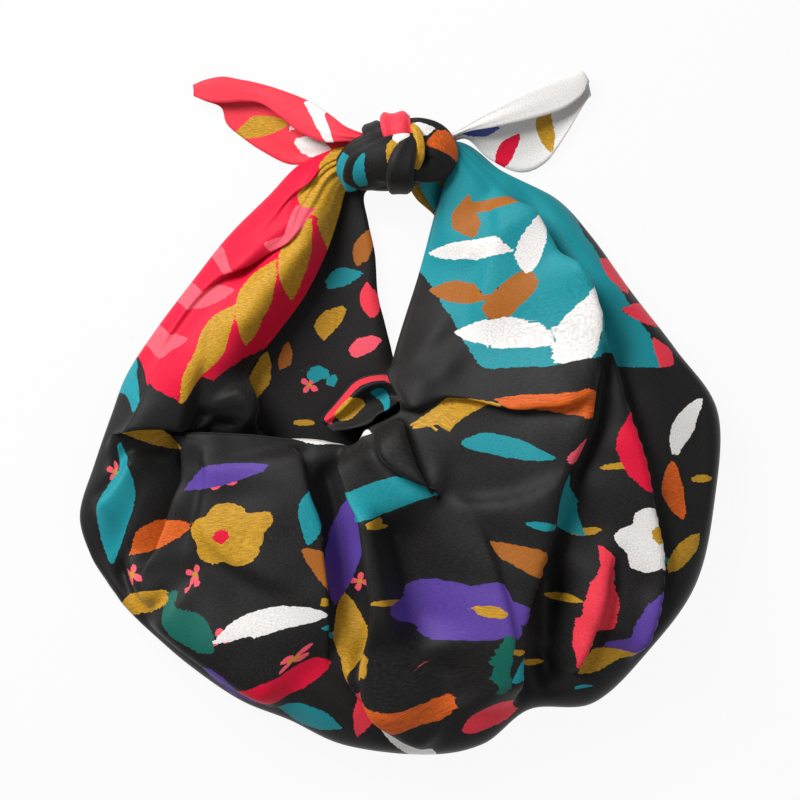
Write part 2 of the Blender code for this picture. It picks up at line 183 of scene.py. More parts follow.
# Folds: each runs along its points. Its crest leans over the steep side, which lies to the right
# of its run where side is 1 and to the left where it is -1. A negative height is a trough. Hidden
# is the width of cloth that the fold takes in, so that the print jumps across it.
FOLD_COLUMNS = "height lean steep gentle side start end hidden points".split()
FRONT_FOLDS = (
    # right edge of the left front panel, over the valley beside it
    (12, 11, 5, 46, -1, 8, 46, 20, ((-74, -23), (-67, -57), (-58, -81), (-56, -105), (-53, -129),
                                   (-52, -153), (-48, -177), (-43, -196))),
    (-14, 0, 8, 9, 1, 16, 50, 0, ((-60, -34), (-50, -66), (-44, -100), (-39, -140), (-37, -180))),
    # strip at the foot of the valley, over the left front panel
    (8, 7, 5, 24, 1, 24, 8, 14, ((-46, -182), (-35, -203), (-17, -224), (2, -243), (20, -257))),
    # ridge at the right of the valley, with the soft edge of its own right side
    (16, 13, 6, 26, 1, 14, 40, 16, ((-50, -28), (-38, -63), (-31, -109), (-26, -141), (-25, -171),
                                    (-26, -191), (-21, -213), (-8, -234), (8, -249))),
    (12, 6, 10, 20, -1, 24, 30, 0, ((-14, -56), (-9, -93), (-3, -122), (1, -150), (5, -178))),
    (-17, 0, 9, 20, 1, 24, 40, 0, ((-2, -70), (4, -98), (10, -130), (15, -160), (20, -186))),
    (-9, 0, 13, 20, 1, 20, 20, 0, ((24, -172), (36, -201), (49, -224))),
    # tuck at the middle of the rim, flat on top
    (10, 8, 4, 18, 1, 6, 7, 20, ((-21, -14), (-11, -36), (1, -49), (12, -57), (32, -63))),
    (10, 8, 4, 18, -1, 6, 7, 20, ((5, -2), (14, -26), (25, -49), (32, -64))),
    # roll of the right strap over the front panel
    (10, 8, 5, 36, 1, 12, 20, 0, ((1, -1), (26, 9), (37, 12), (52, 11), (66, 7), (82, 3), (97, 5),
                                  (110, 6), (130, 15))),
    # strong edge of the right front panel, from the strap to the outline
    (18, 15, 6, 44, -1, 40, 20, 22, ((80, 177), (90, 166), (103, 150), (114, 129), (124, 108),
                                     (135, 87), (142, 62), (142, 38), (140, -6), (130, -40),
                                     (122, -66), (114, -92), (109, -111), (98, -144), (93, -171),
                                     (92, -200), (95, -219))),
    # second panel on the right
    (13, 12, 5, 30, -1, 26, 24, 16, ((112, 123), (122, 111), (134, 100), (145, 81), (152, 63),
                                     (163, 31), (172, 0), (184, -37), (191, -75), (197, -107),
                                     (195, -143), (186, -172), (175, -192))),
    # round bulge between the two panels, and the hollow beside it
    (12, 10, 5, 20, -1, 34, 16, 10, ((167, -92), (155, -118), (152, -137), (146, -159), (142, -174),
                                    (133, -192), (125, -201))),
    (-17, 0, 9, 13, 1, 30, 24, 0, ((115, -104), (109, -148), (109, -178), (112, -214))),
    (-6, 0, 8, 10, 1, 30, 20, 0, ((172, -100), (170, -130), (166, -160), (156, -186))),
    # front panel over the strip along the lower left outline
    (9, 8, 4, 34, 1, 24, 24, 12, ((-196, -150), (-187, -161), (-164, -178), (-148, -189),
                                  (-139, -199), (-122, -209), (-103, -219), (-86, -228))),
    # left strap: outer roll, the crease under it, a short crease beside that, and the outer strip
    (8, 6, 4, 22, -1, 20, 30, 10, ((-52, 185), (-85, 158), (-107, 140), (-124, 134), (-146, 118))),
    (12, 10, 5, 22, -1, 24, 34, 14, ((-64, 136), (-97, 120), (-111, 111), (-130, 102), (-148, 85),
                                    (-160, 70), (-171, 54), (-184, 34))),
    (-8, 0, 6, 9, 1, 14, 24, 0, ((-78, 146), (-103, 127), (-117, 113), (-133, 100))),
    (8, 7, 4, 26, 1, 40, 20, 12, ((-166, 60), (-194, 15), (-215, -13), (-229, -30))),
    (6, 0, 12, 14, 1, 30, 40, 0, ((-52, 160), (-66, 132), (-86, 104), (-112, 72), (-134, 44))),
    # lower edge of the left strap over the hollow of the lobe, and the lobe's own creases
    (15, 11, 5, 40, 1, 16, 10, 20, ((-232, -36), (-224, -27), (-213, -23), (-196, -18), (-182, -15),
                                    (-167, -14), (-152, -16))),
    (9, 5, 5, 26, -1, 14, 14, 0, ((-232, -74), (-224, -69), (-213, -58), (-202, -43), (-191, -28))),
    (-7, 0, 7, 10, 1, 20, 14, 0, ((-220, -44), (-206, -34), (-190, -27), (-174, -25), (-160, -26))),
    (4, 4, 6, 20, 1, 20, 30, 0, ((-178, -44), (-186, -64), (-195, -84), (-206, -102), (-218, -114))),
    (-9, 0, 8, 10, 1, 16, 16, 0, ((-210, -108), (-204, -130), (-194, -149), (-178, -160))),
    (6, 5, 4, 16, 1, 10, 14, 0, ((-202, -104), (-200, -122), (-192, -137), (-180, -147))),
    # turned hem of the left strap: its bulge, a dent in it, and the rolled end beside it
    (6, 3, 5, 16, -1, 8, 8, 0, ((-122, 24), (-114, 10), (-112, -3), (-119, -15))),
    (-4, 0, 3.5, 4, 1, 8, 5, 0, ((-142, -5), (-132, -8), (-119, -6))),
    (-7, 0, 4, 5, 1, 6, 6, 0, ((-160, -11), (-152, -5), (-142, 2))),
    (4, 2, 3, 8, 1, 6, 6, 0, ((-160, -17), (-150, -12), (-140, -6))),
    # soft creases that run out of the point where the necklines meet
    (4, 0, 6, 9, 1, 20, 40, 0, ((1, 33), (14, 47), (27, 62), (42, 84))),
    (5, 0, 8, 10, 1, 16, 50, 0, ((2, 22), (20, 33), (40, 46), (66, 60))),
    (-5, 0, 12, 18, 1, 30, 50, 0, ((62, 140), (84, 104), (98, 70), (104, 40))),
    # inner edge of the right strap, folded sharply from the knot down
    (8, 4, 4, 34, 1, 5, 60, 0, ((45, 212), (41, 192), (36, 172), (30, 150), (22, 122), (12, 92))),
    # lengthwise creases of the right strap and the middle panel
    (4, 3, 5, 22, 1, 26, 40, 0, ((74, 172), (70, 140), (62, 108), (56, 76), (58, 46))),
    (5, 4, 5, 24, -1, 30, 40, 6, ((52, -70), (60, -104), (66, -140), (70, -176), (70, -204))),
    (4, 3, 5, 20, 1, 20, 30, 0, ((-150, -80), (-132, -104), (-104, -124), (-76, -134))),
    (5, 4, 5, 18, -1, 20, 40, 0, ((30, -66), (58, -66), (84, -58), (106, -44), (122, -24))),
    (4, 3, 4, 18, 1, 16, 30, 0, ((-146, -22), (-144, -50), (-150, -84), (-160, -112))),
    (-6, 0, 16, 22, 1, 30, 50, 0, ((206, 56), (214, 6), (216, -50), (210, -110))),
)


def through(rows, at):
    """Values of the rows at fractional row numbers, on a smooth curve through every row."""
    rows = np.asarray(rows, float)
    slopes = np.gradient(rows, axis=0)
    first = np.clip(np.floor(at).astype(int), 0, len(rows) - 2)
    t = (np.asarray(at) - first)[:, None]
    a, b = rows[first], rows[first + 1]
    return (
        (2 * t**3 - 3 * t**2 + 1) * a
        + (t**3 - 2 * t**2 + t) * slopes[first]
        + (3 * t**2 - 2 * t**3) * b
        + (t**3 - t**2) * slopes[first + 1]
    )


def evenly(rows, count):
    """Fractional row numbers whose places lie about evenly apart."""
    dense = np.linspace(0, len(rows) - 1, 40 * len(rows))
    steps = np.linalg.norm(np.diff(through(rows, dense), axis=0), axis=1)
    along = np.concatenate([[0], np.cumsum(steps)])
    return np.interp(np.linspace(0, along[-1], count), along, dense)


def smooth(t):
    """0 below 0, 1 above 1 and a soft step between."""
    t = np.clip(t, 0, 1)
    return t * t * (3 - 2 * t)


def quarter_round(t):
    """Height of a quarter circle over its base, from 0 at t = 0 to 1 at t = 1."""
    return np.sqrt(1 - (1 - np.clip(t, 0, 1)) ** 2)


def beside_path(points, xy):
    """Signed distance (left is positive), place along, length and left normals of a path."""
    line = through(points, evenly(points, 7 * len(points)))
    a, step = line[:-1], np.diff(line, axis=0)
    length = np.linalg.norm(step, axis=1)
    run = step / length[:, None]
    gap = xy[:, None, :] - a[None]
    t = np.clip((gap * run).sum(2), 0, length)
    off = gap - t[..., None] * run
    away = np.linalg.norm(off, axis=2)
    near = away.argmin(1)
    pick = np.arange(len(xy))
    left = np.stack([-run[:, 1], run[:, 0]], 1)[near]
    side = np.sign((off[pick, near] * left).sum(1))
    start = np.concatenate([[0], np.cumsum(length)])
    return side * away[pick, near], start[near] + t[pick, near], start[-1], left


FOLD_FOOT = 0.3  # depth of the groove at the foot of a fold, as a share of its height
HIDDEN_REACH = 48.0  # distance over which the print comes back to its place beside a fold


def folded(points, flat, folds, weight):
    """Points raised and leant along each fold, and the flat places of the cloth that then shows."""
    moved, shown = points.copy(), flat.copy()
    for row in folds:
        fold = dict(zip(FOLD_COLUMNS, row))
        away, along, length, left = beside_path(np.array(fold["points"], float), points[:, :2])
        away, normal = away * fold["side"], left * fold["side"]
        past = away - fold["lean"]
        steep = fold["steep"]
        ends = smooth(along / fold["start"]) * smooth((length - along) / fold["end"]) * weight
        crest = np.exp(-((past / np.where(past < 0, steep, fold["gentle"])) ** 2)) * ends
        foot = np.exp(-((past / steep + 2.2) ** 2) / 2) * ends * (fold["height"] > 0)
        moved[:, :2] -= normal * (fold["lean"] * crest)[:, None]
        moved[:, 2] += fold["height"] * (crest - FOLD_FOOT * foot)
        taken = smooth((past / steep + 2) / 1.5) * np.exp(-(np.clip(past, 0, None) / HIDDEN_REACH) ** 2)
        shown += normal * (fold["hidden"] * taken * ends)[:, None]
    return moved, shown


def relaxed(grid, passes):
    """A grid whose inner points move halfway to the mean of their four neighbours in each pass."""
    grid = grid.copy()
    for _ in range(passes):
        around = (grid[:-2, 1:-1] + grid[2:, 1:-1] + grid[1:-1, :-2] + grid[1:-1, 2:]) / 4
        grid[1:-1, 1:-1] = (grid[1:-1, 1:-1] + around) / 2
    return grid


def unevenness(plan):
    """Height of slack cloth over its plan: three crossing waves of unlike length, a millimetre high."""
    x, y = plan[..., 0], plan[..., 1]
    return (
        0.7 * np.sin(x / 17 + 1.3 * np.sin(y / 23))
        + 0.6 * np.sin(y / 13 + 1.7 * np.sin(x / 31) + 1)
        + 0.5 * np.sin((x + y) / 9 + 2 * np.sin((x - y) / 19))
    )


def bag_sheet():
    """Places and flat print coordinates of the bag, section by section, and its row at the outline."""
    table = np.array(SECTIONS, float)
    at = evenly(table[:, [3, 4, 6, 7, 9, 10]], COLUMNS)
    column = dict(zip(SECTION_COLUMNS, through(table, at).T))
    places = [
        np.stack([column[f"{name}_{axis}"] for axis in "xyz"], 1)
        for name in ("rim", "hi", "lo", "edge")
    ]
    edge_z = places[3][:, 2].copy()
    places[3][:, 2] = SHOULDER * places[2][:, 2]
    # rows lie closer towards the outline, on the cubic through the four places of each section
    t = np.linspace(0, 1, FRONT_ROWS)
    v = (t + 1 - (1 - t) ** 1.5) / 2
    weights = [
        (1 - v) * (1 - 3 * v) * (2 - 3 * v) / 2,
        9 * v * (1 - v) * (2 - 3 * v) / 2,
        9 * v * (1 - v) * (3 * v - 1) / 2,
        v * (1 - 3 * v) * (2 - 3 * v) / 2,
    ]
    front = sum(w[None, :, None] * p[:, None, :] for w, p in zip(weights, places))
    inward = np.linalg.norm(front[..., :2] - front[:, -1:, :2], axis=2)
    turn = quarter_round(inward / (SIDE_ROUND * places[2][:, 2:3]))
    front[..., 2] = edge_z[:, None] + (front[..., 2] - edge_z[:, None]) * turn
    front += gathers(front, v) * smooth(inward / GATHER_FADE)[..., None]
    front[..., 2] += unevenness(front) * smooth(inward / UNEVEN_FADE)
    weight = smooth(inward / FOLD_FADE).ravel()
    points, shown = folded(front.reshape(-1, 3), front.reshape(-1, 3)[:, :2], FRONT_FOLDS, weight)
    front = relaxed(points.reshape(front.shape), 1)
    print_front = shown.reshape(*front.shape[:2], 2)

    # underneath, rows lie a little closer towards the neckline
    t = np.linspace(0, 1, BACK_ROWS + 1)[1:]
    w = (0.35 * t**2 + 0.65 * (1 - (1 - t) ** 1.6))[None, :, None]
    neck = np.stack([column["neck_x"], column["neck_y"]], 1)[:, None]
    plan = front[:, -1:, :2] * (1 - w) + neck * w
    inward = np.linalg.norm(plan - front[:, -1:, :2], axis=2)
    height = edge_z[:, None] - CLOTH_HALF
    drop = quarter_round(inward / (UNDER_ROUND * edge_z[:, None]))
    lift = NECK_LIFT * np.exp(-((np.linalg.norm(plan - neck, axis=2) / NECK_REACH) ** 2))
    back = np.concatenate([plan, (CLOTH_HALF + height * (1 - drop) + lift)[..., None]], axis=2)

    lip, print_lip = rolled_lip(front, print_front)
    return (
        np.concatenate([lip, front, back], axis=1),
        np.concatenate([print_lip, print_front, plan], axis=1),
        LIP_ROWS + FRONT_ROWS,
    )


def gathers(front, v):
    """Pleats that run out of the knot: waves across the strap that fade as it widens."""
    from_knot = np.linalg.norm(front[..., :2] - np.array(KNOT_PLACE), axis=2)
    phase = GATHERS * v[None, :] + 0.35 * np.sin(9 * v[None, :] + from_knot / 60)
    wave = np.cos(2 * math.pi * phase) + 0.4 * np.cos(2 * math.pi * 2.1 * phase + 1)
    amount = np.where(front[..., 0] < KNOT_PLACE[0], GATHER_HEIGHT, GATHER_RIGHT)
    lift = amount * wave * np.exp(-((from_knot / GATHER_REACH) ** 2))
    return np.stack([0 * lift, 0 * lift, lift], axis=2)


def rolled_lip(front, flat):
    """Hem of the rim: a half circle over the edge, then a strip tucked back underneath."""
    out = front[:, 0] - front[:, 2]
    out[:, 2] = 0
    out /= np.linalg.norm(out, axis=1)[:, None] + 1e-6
    radius = np.full((len(front), 1), LIP_ROUND)
    for x, y, added in LIP_SWELLS:
        away = np.hypot(front[:, :1, 0] - x, front[:, :1, 1] - y)
        radius += added * np.exp(-((away / LIP_SWELL_REACH) ** 2))
    turns = np.linspace(math.pi, math.pi / 6, LIP_ROWS - 1)[None]
    across = np.concatenate([0 * radius - LIP_TUCK, radius * np.sin(turns)], axis=1)
    down = np.concatenate([1.6 * radius, radius * (1 - np.cos(turns))], axis=1)
    lip = front[:, :1] + out[:, None] * across[..., None]
    lip[..., 2] -= down
    past = np.concatenate([2 * LIP_TUCK + 0 * radius, radius * turns], axis=1)
    return lip, flat[:, :1] + out[:, None, :2] * past[..., None]


bag_places, bag_flat, bag_outline_row = bag_sheet()

# Printed design, by motif: each covers those before it. A stroke is a bar with round ends, a leaf
# a lens with two points, and a bloom a ring of petals. Long and wide are half sizes; turn is in
# degrees; bend is how far the ends droop, and for a bloom it is the number of petals. A region isn't
# a colour: it says where the black ground has short dashes or small flowers.
PRINT_COLOURS = {
    "crimson": (208, 12, 54), "coral": (224, 56, 72), "salmon": (224, 82, 98), "teal": (26, 132, 142),
    "ochre": (156, 92, 34), "gold": (174, 129, 34), "orange": (192, 84, 26), "purple": (84, 60, 142),
    "violet": (74, 82, 150), "green": (18, 92, 80), "white": (219, 216, 213),
}
PRINT_REGIONS = ("dashed", "starred")
MOTIF_COLUMNS = "colour kind x y long wide turn bend".split()
FRONT_PRINT = (
    ("dashed", "stroke", 100, -130, 110, 80, 10, 0), ("starred", "stroke", -120, -120, 90, 70, -20, 0),
    # left strap: two rows of leaves on a bright field
    ("crimson", "stroke", -122, 96, 92, 70, 44, 0), ("gold", "stroke", -36, 182, 26, 20, 40, 0),
    ("gold", "leaf", -52, 150, 30, 10, 82, 5), ("salmon", "leaf", -86, 146, 27, 9, 8, -4),
    ("gold", "leaf", -78, 116, 32, 11, 76, 5), ("salmon", "leaf", -118, 118, 27, 9, 4, -4),
    ("gold", "leaf", -108, 84, 34, 12, 70, 5), ("salmon", "leaf", -150, 88, 28, 9, 0, -4),
    ("gold", "leaf", -139, 54, 32, 11, 66, 5), ("salmon", "leaf", -184, 58, 26, 8, -4, -4),
    # right strap: pairs of leaves on a plain field, and loose leaves outside it
    ("teal", "stroke", 92, 96, 78, 60, -58, 0),
    ("ochre", "leaf", 68, 150, 20, 7, -18, 3), ("ochre", "leaf", 50, 143, 20, 7, -98, -3),
    ("white", "leaf", 44, 116, 20, 7, -18, 3), ("white", "leaf", 70, 111, 20, 7, -98, -3),
    ("ochre", "leaf", 40, 88, 20, 7, -18, 3), ("ochre", "leaf", 64, 76, 20, 7, -98, -3),
    ("white", "leaf", 60, 58, 20, 7, -18, 3), ("white", "leaf", 84, 48, 20, 7, -98, -3),
    ("coral", "leaf", 162, 104, 18, 7, -50, 3), ("coral", "leaf", 182, 74, 18, 7, -20, 3),
    ("coral", "leaf", 198, 40, 18, 7, -70, 3),
    # black ground of the pouch
    ("black", "stroke", -160, -18, 110, 46, -15, -6),
    ("black", "stroke", 90, -60, 150, 96, -3, -8), ("black", "stroke", -60, -120, 170, 96, 6, 0),
    # left of the pouch: loose leaves round a bloom
    ("teal", "leaf", -210, -72, 42, 14, 76, 6), ("orange", "leaf", -178, -92, 26, 9, 30, 4),
    ("gold", "leaf", -190, -140, 26, 9, 20, 4), ("purple", "leaf", -140, -48, 22, 8, 20, 4),
    ("gold", "bloom", -134, -92, 22, 6, 20, 5), ("crimson", "stroke", -134, -92, 0, 6, 0, 0),
    ("teal", "leaf", -90, -74, 26, 10, 66, 4), ("ochre", "leaf", -84, -118, 24, 9, 124, -4),
    ("green", "leaf", -148, -146, 28, 9, -36, 4), ("white", "leaf", -108, -150, 26, 9, 10, 4),
    ("purple", "leaf", -128, -192, 34, 12, -40, 5), ("crimson", "leaf", -84, -196, 34, 12, 8, -6),
    ("teal", "leaf", -66, -226, 26, 8, -20, 0), ("gold", "leaf", -178, -22, 22, 8, -10, 4),
    ("white", "leaf", -56, -14, 34, 10, -3, 0), ("teal", "leaf", -206, 26, 18, 6, 56, 0),
    # valley and middle
    ("purple", "leaf", -42, -100, 44, 13, 82, 0), ("gold", "leaf", -36, -166, 34, 12, 100, 0),
    ("teal", "leaf", -12, -66, 34, 13, 20, 8), ("white", "leaf", 8, -246, 26, 8, -30, 0),
    ("coral", "leaf", -20, -214, 30, 10, 60, 4),
    # front panel: a bloom on its stem, with two leaves
    ("green", "stroke", 40, -184, 26, 3.4, 96, 5), ("purple", "bloom", 36, -142, 25, 6, 10, 6),
    ("gold", "stroke", 36, -142, 0, 7, 0, 0), ("teal", "leaf", 60, -186, 20, 8, 40, 4),
    ("orange", "leaf", 20, -206, 22, 9, 140, 4), ("coral", "leaf", 66, -226, 24, 9, 24, 4),
    ("ochre", "leaf", 66, -100, 24, 8, -30, 4),
    # right of the pouch
    ("teal", "leaf", 110, -62, 34, 12, 110, 6), ("crimson", "leaf", 150, -34, 32, 11, 100, 5),
    ("coral", "leaf", 130, -140, 44, 15, 80, -6), ("white", "bloom", 166, -96, 24, 6, 0, 6),
    ("gold", "stroke", 166, -96, 0, 7, 0, 0), ("purple", "leaf", 164, -150, 34, 12, 60, 6),
    ("gold", "leaf", 150, -182, 24, 8, 30, 0),
    # right strap's foot and the far right
    ("gold", "leaf", 44, 8, 24, 9, 24, 4), ("orange", "leaf", 84, 10, 22, 8, -30, 4),
    ("teal", "leaf", 62, -20, 20, 8, -6, 3), ("salmon", "leaf", 98, -18, 18, 7, 40, 0),
    ("white", "leaf", 212, -10, 26, 8, 64, 4), ("orange", "leaf", 204, -58, 24, 8, 100, 4),
    ("gold", "leaf", 212, -104, 20, 7, 50, 0),
)
BACK_PRINT = (
    ("dashed", "stroke", 0, -120, 170, 120, 0, 0), ("starred", "stroke", 0, -40, 200, 90, 0, 0),
    # back panel that shows between the straps
    ("ochre", "leaf", -27, 124, 18, 7, 70, 3), ("teal", "leaf", -44, 102, 18, 7, 20, 3),
    ("coral", "leaf", -22, 84, 18, 7, 100, 3), ("gold", "leaf", -54, 68, 20, 8, 50, 4),
    ("salmon", "leaf", -28, 50, 18, 7, 30, 3), ("ochre", "leaf", -84, 40, 18, 7, 80, 3),
    ("teal", "leaf", -58, 28, 18, 7, -20, 3), ("gold", "leaf", -104, 26, 24, 8, 74, 0),
    ("orange", "leaf", -50, 2, 20, 7, 140, 0), ("gold", "stroke", 20, 162, 18, 13, -56, 0),
    # back of the pouch
    ("gold", "leaf", -170, -60, 44, 15, 50, 10), ("orange", "leaf", -120, -170, 46, 17, -40, 8),
    ("gold", "bloom", -90, -90, 24, 6, 0, 5), ("crimson", "stroke", -90, -90, 0, 7, 0, 0),
    ("teal", "leaf", -30, -150, 36, 12, 70, 6), ("purple", "leaf", 20, -70, 30, 10, 20, 6),
    ("white", "bloom", 70, -150, 22, 6, 30, 6), ("gold", "stroke", 70, -150, 0, 7, 0, 0),
    ("coral", "leaf", 110, -70, 34, 12, -50, 8), ("orange", "leaf", 170, -110, 46, 16, 70, 8),
    ("crimson", "leaf", 160, -20, 30, 11, 20, 5), ("teal", "leaf", 120, 60, 60, 20, -60, 8),
    ("crimson", "leaf", -130, 50, 60, 20, 50, -8), ("gold", "leaf", 0, -210, 34, 12, 4, 4),
)


def stroke_inside(u, w, long, wide, bend):
    """Depth inside a bar with round ends whose middle line droops as the square of its length."""
    reach = np.hypot(np.clip(np.abs(u) - long, 0, None), w + bend * (u / max(long, 1)) ** 2)
    return wide - reach


def leaf_inside(u, w, long, wide, bend):
    """Depth inside a leaf: its half width falls as the square of the distance from its middle."""
    share = (u / long) ** 2
    return wide * (1 - share) - np.abs(w + bend * share)


def bloom_inside(u, w, long, wide, petals):
    """Depth inside a ring of petals: its radius dips by wide between each two petals."""
    dip = 1 - np.abs(np.cos(petals * np.arctan2(w, u) / 2))
    return long - wide * dip - np.hypot(u, w)


MOTIF_KINDS = {"stroke": stroke_inside, "leaf": leaf_inside, "bloom": bloom_inside}
UNDERLAP = 1.5  # how far a colour runs on under the edge of the motif that covers it
FAR_OUTSIDE = -30.0  # depth where no motif lies


def painted(flat, motifs):
    """How deep each flat place lies inside each colour and region, in millimetres, below 0 outside."""
    names = (*PRINT_COLOURS, *PRINT_REGIONS)
    inside = {name: np.full(flat.shape[:-1], FAR_OUTSIDE) for name in names}
    for row in motifs:
        motif = dict(zip(MOTIF_COLUMNS, row))
        turn = math.radians(motif["turn"])
        x, y = flat[..., 0] - motif["x"], flat[..., 1] - motif["y"]
        u, w = x * math.cos(turn) + y * math.sin(turn), y * math.cos(turn) - x * math.sin(turn)
        depth = MOTIF_KINDS[motif["kind"]](u, w, motif["long"], motif["wide"], motif["bend"])
        colour = motif["colour"]
        if colour not in PRINT_REGIONS:
            under = 0 if colour == "black" else UNDERLAP
            for name in PRINT_COLOURS:
                np.minimum(inside[name], under - depth, out=inside[name])
        if colour != "black":
            np.maximum(inside[colour], depth, out=inside[colour])
    return inside


def joined(parts, axis):
    """Painted parts of one sheet put together along an axis."""
    return {name: np.concatenate([part[name] for part in parts], axis) for name in parts[0]}


bag_inside = joined([
    painted(bag_flat[:, :bag_outline_row], FRONT_PRINT),
    painted(bag_flat[:, bag_outline_row:], BACK_PRINT),
], 1)

# --- Tails ----------------------------------------------------------------------------------
# The two free corners of the cloth. Each is a leaf that lies on the table, with its upper edge
# turned over into a soft strip.

TAIL_COLUMNS = 60
TAIL_ROWS = 29
TAIL_TABLE_COLUMNS = "low_x low_y low_z top_x top_y top_z strip_x strip_y strip_z".split()
LEFT_TAIL = (
    (-26, 197, 22, -26, 208, 24, -24, 203, 29),
    (-44, 193, 14, -40, 213, 22, -42, 203, 28),
    (-61, 189, 9, -52, 221, 19, -57, 203, 24),
    (-82, 187, 5, -68, 231, 15, -74, 210, 20),
    (-103, 197, 4, -89, 240, 12, -89, 222, 17),
    (-119, 208, 3, -107, 246, 9, -103, 232, 14),
    (-130, 218, 3, -121, 249, 8, -116, 234, 12),
    (-134, 230, 3, -133, 251, 7, -131, 233, 11),
    (-146, 235, 4, -146, 249, 6, -143, 234, 10),
    (-155, 239, 4, -155, 246, 5, -154, 238, 8),
)
RIGHT_TAIL = (
    (31, 197, 16, 31, 205, 16, 28, 200, 24),
    (50, 206, 12, 47, 213, 18, 49, 210, 23),
    (68, 191, 7, 68, 225, 16, 70, 214, 21),
    (91, 181, 4, 92, 237, 13, 93, 219, 18),
    (110, 188, 4, 113, 246, 10, 112, 224, 15),
    (125, 208, 5, 128, 252, 8, 125, 229, 13),
    (140, 233, 5, 138, 255, 7, 136, 237, 11),
    (145, 239, 4, 143, 249, 6, 140, 243, 10),
)


def tail_sheet(rows, pleats):
    """Leaf from its low edge to the top, then the strip turned over, with pleats at the knot."""
    table = dict(zip(TAIL_TABLE_COLUMNS, through(rows, evenly(rows, TAIL_COLUMNS)).T))
    low, top, strip = (
        np.stack([table[f"{name}_{axis}"] for axis in "xyz"], 1) for name in ("low", "top", "strip")
    )
    drop = np.array([0, 0, 3.0])
    places = np.stack([low, (low + top) / 2 - drop, top - drop, top + drop, strip], 1)
    at = np.linspace(0, 4, TAIL_ROWS)
    grid = np.stack([through(p, at) for p in places])
    flat = grid[..., :2].copy()
    flat[..., 1] += 2 * np.clip(top[:, None, 1] - flat[..., 1], 0, None) * (at > 2.5)
    along = np.linspace(0, 1, TAIL_COLUMNS)[:, None]
    grid[..., 2] += pleats * np.cos(2 * math.pi * at[None] * 1.4) * (1 - along) ** 2
    return grid, flat


LEFT_TAIL_PRINT = (
    ("coral", "stroke", -90, 215, 120, 90, 0, 0), ("white", "leaf", -66, 226, 22, 8, 30, 3),
    ("gold", "leaf", -104, 216, 22, 8, 12, 3), ("white", "leaf", -62, 198, 20, 8, -30, 3),
    ("teal", "leaf", -128, 242, 16, 6, -10, 0),
)
RIGHT_TAIL_PRINT = (
    ("white", "stroke", 90, 215, 120, 90, 0, 0), ("crimson", "leaf", 80, 196, 20, 8, 60, 3),
    ("gold", "leaf", 110, 214, 22, 8, 100, 3), ("violet", "leaf", 62, 212, 16, 6, 10, 0),
    ("coral", "leaf", 128, 240, 16, 6, 60, 0),
)
left_tail, left_tail_flat = tail_sheet(LEFT_TAIL, 1.6)
right_tail, right_tail_flat = tail_sheet(RIGHT_TAIL, 1.6)

# --- Knot -----------------------------------------------------------------------------------
# Both ends of the cloth pass round each other once and are pulled tight, so the knot is a few
# gathered bands over and under a core of twisted cloth.

KNOT_CENTRE = (1, 191, 20)
KNOT_BANDS = {
    # height of the pleats, how much it faces sideways, and x y z half_wide half_thick along it
    "core": (0.6, 1, ((-42, 184, 18, 9, 9), (-26, 187, 26, 20, 14), (0, 190, 27, 23, 17),
                      (22, 194, 24, 18, 15), (40, 197, 18, 10, 10))),
    "upper": (0.5, 1, ((2, 203, 43, 4, 4), (-12, 203, 45, 6, 5), (-24, 199, 44, 7, 6),
                       (-34, 191, 40, 8, 6), (-39, 181, 32, 8, 6), (-36, 171, 22, 8, 6))),
    "top_left": (0.3, 0.4, ((-12, 196, 44, 7, 2), (-15, 204, 45, 8, 2), (-19, 211, 40, 8, 3),
                            (-21, 214, 26, 7, 3), (-20, 210, 10, 7, 3))),
    "top": (1.1, 0.4, ((-3, 214, 10, 10, 3), (-3, 220, 25, 11, 4), (-3, 219, 40, 11, 4),
                       (-2, 212, 48, 11, 4), (0, 203, 49, 10, 3), (1, 197, 44, 9, 3))),
    "hem": (0.2, 0.4, ((-10, 200, 48, 3, 3), (-3, 202, 53, 4, 3), (5, 203, 54, 4, 3),
                       (10, 203, 48, 3, 3))),
    "lobe": (0.5, 0.15, ((11, 203, 46, 3, 3), (1, 199, 52, 8, 4), (-10, 192, 53, 13, 5),
                         (-18, 185, 50, 17, 6), (-22, 179, 43, 19, 6), (-22, 173, 31, 19, 6),
                         (-20, 173, 18, 16, 5))),
    "right": (0.5, 1, ((3, 213, 38, 6, 4), (14, 211, 43, 9, 5), (24, 205, 42, 13, 6),
                       (30, 197, 40, 14, 7), (29, 187, 39, 14, 7), (21, 181, 41, 10, 6),
                       (9, 178, 45, 6, 5))),
    "strip": (0.2, 1, ((6, 214, 42, 2, 3), (12, 210, 49, 3, 3), (15, 201, 53, 3.5, 3),
                       (15, 190, 53, 3.5, 3), (12, 182, 47, 3, 3))),
    "front": (0.4, 0.3, ((10, 205, 50, 3, 3), (7, 199, 56, 6, 3), (3, 189, 59, 9, 4),
                         (1, 179, 57, 10, 5), (1, 172, 49, 10, 5), (1, 168, 36, 9, 5),
                         (2, 170, 20, 8, 4))),
}
BAND_STEPS = 32
BAND_ROWS = 17
BAND_TURN = 1.9  # how far each edge of a band turns under, in radians from its crown
BAND_FACING = 2.2  # how much more the bands face up than straight out of the knot
BAND_FLAT = 0.75  # power of the oval across a band: below 1 for a flatter crown and tighter edges


def flattened(share):
    """A share from -1 to 1 raised to the power of the flat oval, with its sign kept."""
    return np.sign(share) * np.abs(share) ** BAND_FLAT


